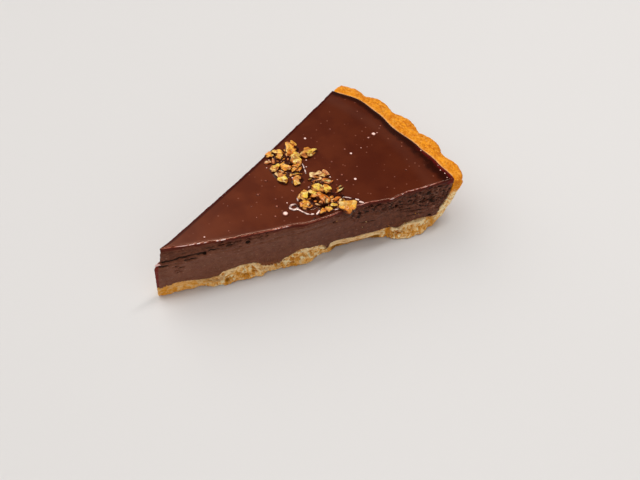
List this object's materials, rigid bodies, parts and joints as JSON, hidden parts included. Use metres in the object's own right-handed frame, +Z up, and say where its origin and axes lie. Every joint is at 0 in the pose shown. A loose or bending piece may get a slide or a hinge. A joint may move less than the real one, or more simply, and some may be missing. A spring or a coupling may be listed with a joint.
{
  "type": "chocolate tart slice",
  "caption": "Wedge-shaped slice of chocolate tart: fluted shortcrust shell, dense ganache filling and a glossy dark glaze with chopped caramelised nuts on top.",
  "frame": {"origin": "middle of the slice's outline, on its flat underside", "axes": "+X along the middle of the slice from its tip to the crust, +Y across it, +Z up"},
  "size_m": [0.1274, 0.0748, 0.0278],
  "materials": {
    "baked_pastry": "dry, sandy baked shortcrust, golden at the rim and paler at the cut",
    "ganache": "smooth, slightly waxy cut chocolate",
    "chocolate_glaze": "wet-looking, glossy dark glaze",
    "caramelised_nuts": "chopped nuts in a thin coat of caramel"
  },
  "bodies": {
    "root": {"pastry_shell": "baked_pastry", "ganache_filling": "ganache", "glaze_with_nuts": "chocolate_glaze"}
  },
  "joints": []
}
